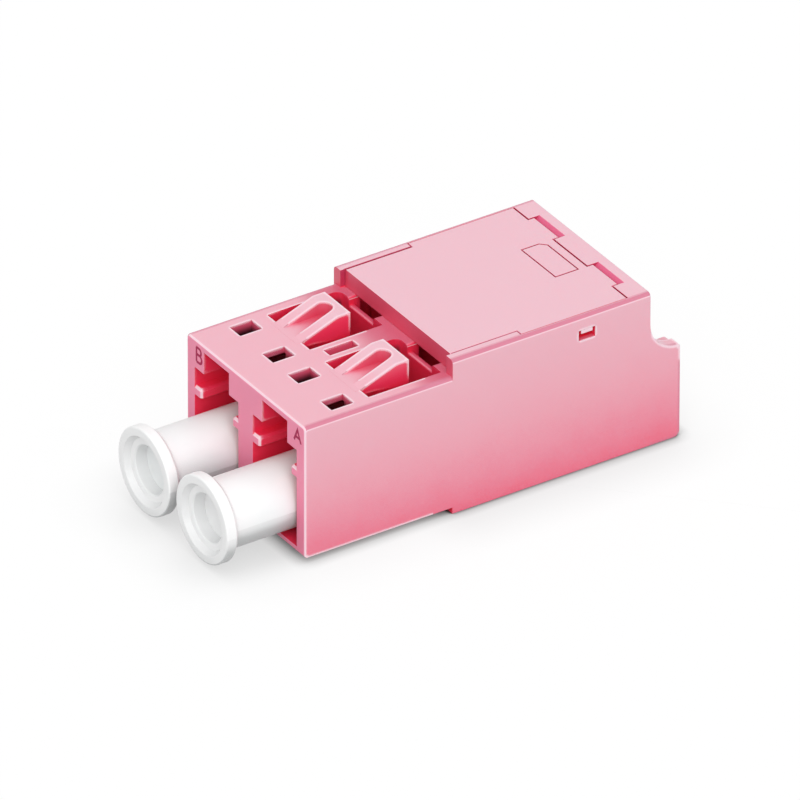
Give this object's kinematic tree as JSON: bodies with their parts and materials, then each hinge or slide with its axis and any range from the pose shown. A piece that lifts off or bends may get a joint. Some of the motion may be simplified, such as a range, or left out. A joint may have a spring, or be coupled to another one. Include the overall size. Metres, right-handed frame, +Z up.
{
  "type": "fibre optic adapter",
  "caption": "Duplex fibre optic adapter: moulded housing with plug ports at both ends, a clipped-in lid, sprung panel tongues and pull-out dust caps.",
  "frame": {"origin": "mid-width on the underside, in the plane of the shoulder that seats against a panel", "axes": "+X to the right seen from the capped front, +Y from the front ports to the rear ports, +Z up"},
  "size_m": [0.0126, 0.0312, 0.0105],
  "materials": {
    "pink_plastic": "moulded pink plastic with a fine satin grain",
    "white_plastic": "soft white plastic, satin",
    "ceramic": "polished white ceramic"
  },
  "bodies": {
    "adapter": {"housing": "pink_plastic", "lid": "pink_plastic", "sleeve_holder_front": "pink_plastic", "sleeve_holder_rear": "pink_plastic", "split_sleeve_a": "ceramic", "split_sleeve_b": "ceramic"},
    "latch_a": {"panel_latch_a": "pink_plastic"},
    "latch_b": {"panel_latch_b": "pink_plastic"},
    "cap_a": {"dust_cap_a": "white_plastic"},
    "cap_b": {"dust_cap_b": "white_plastic"}
  },
  "joints": [
    {"name": "latch_a_flex", "type": "hinge", "parent": "adapter", "child": "latch_a", "pos_m": [0.00313, -0.00522, 0.00888], "axis": [-1, 0, 0], "range_deg": [0, 17], "stiffness_Nm_per_rad": 0.05},
    {"name": "latch_b_flex", "type": "hinge", "parent": "adapter", "child": "latch_b", "pos_m": [-0.00313, -0.00522, 0.00888], "axis": [-1, 0, 0], "range_deg": [0, 17], "stiffness_Nm_per_rad": 0.05},
    {"name": "cap_a_pull", "type": "slide", "parent": "adapter", "child": "cap_a", "axis": [0, -1, 0], "range_m": [0, 0.012]},
    {"name": "cap_b_pull", "type": "slide", "parent": "adapter", "child": "cap_b", "axis": [0, -1, 0], "range_m": [0, 0.012]}
  ]
}
